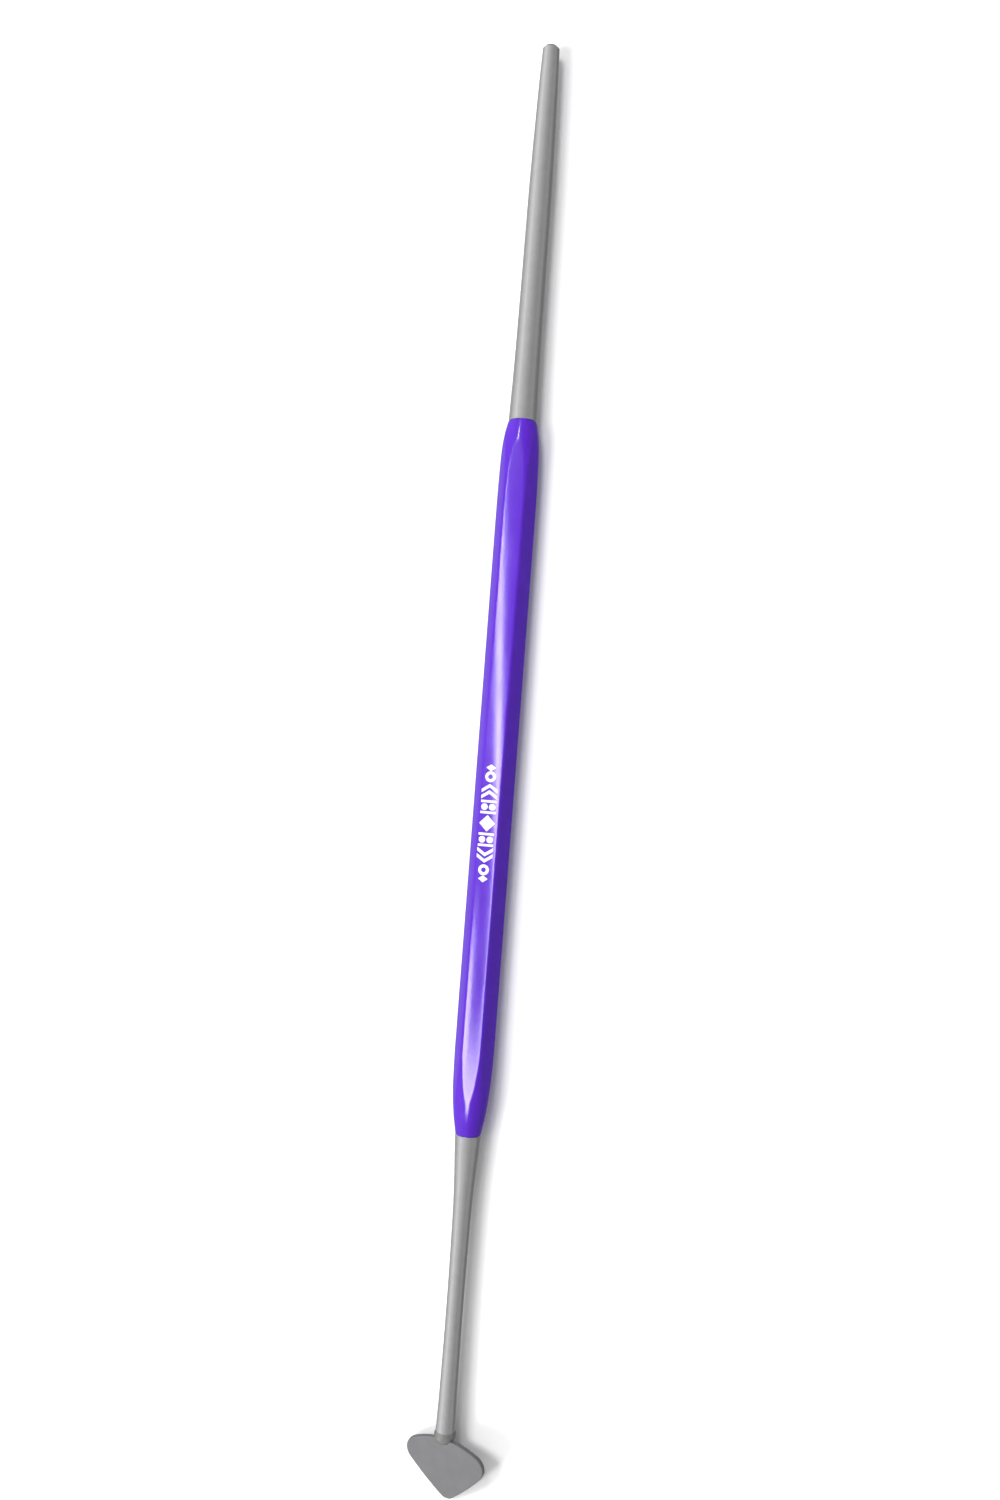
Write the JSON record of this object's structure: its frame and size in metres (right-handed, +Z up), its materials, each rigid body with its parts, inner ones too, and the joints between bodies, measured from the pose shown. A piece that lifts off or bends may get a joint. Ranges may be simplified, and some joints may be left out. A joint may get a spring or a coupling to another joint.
{
  "type": "cuticle pusher",
  "caption": "Slim double-ended nail tool: lacquered hexagonal grip with a tapered steel pusher at one end and a rounded triangular scraper plate at the other.",
  "frame": {"origin": "centre of the grip's lowest flat, on the surface that the tool lies on", "axes": "+Y along the tool towards the pusher's tip, +Z up out of the surface, +X to the right seen from above"},
  "size_m": [0.0104, 0.1808, 0.0045],
  "materials": {
    "lacquer": "glossy violet lacquer on the hexagonal metal grip",
    "steel": "satin stainless steel, turned and finely ground",
    "plate_steel": "satin blasted stainless steel sheet",
    "braze": "silver braze filler"
  },
  "bodies": {
    "root": {"grip": "lacquer", "pusher_shaft": "steel", "scraper_shaft": "steel", "scraper_plate": "plate_steel", "braze_bead": "braze"}
  },
  "joints": []
}
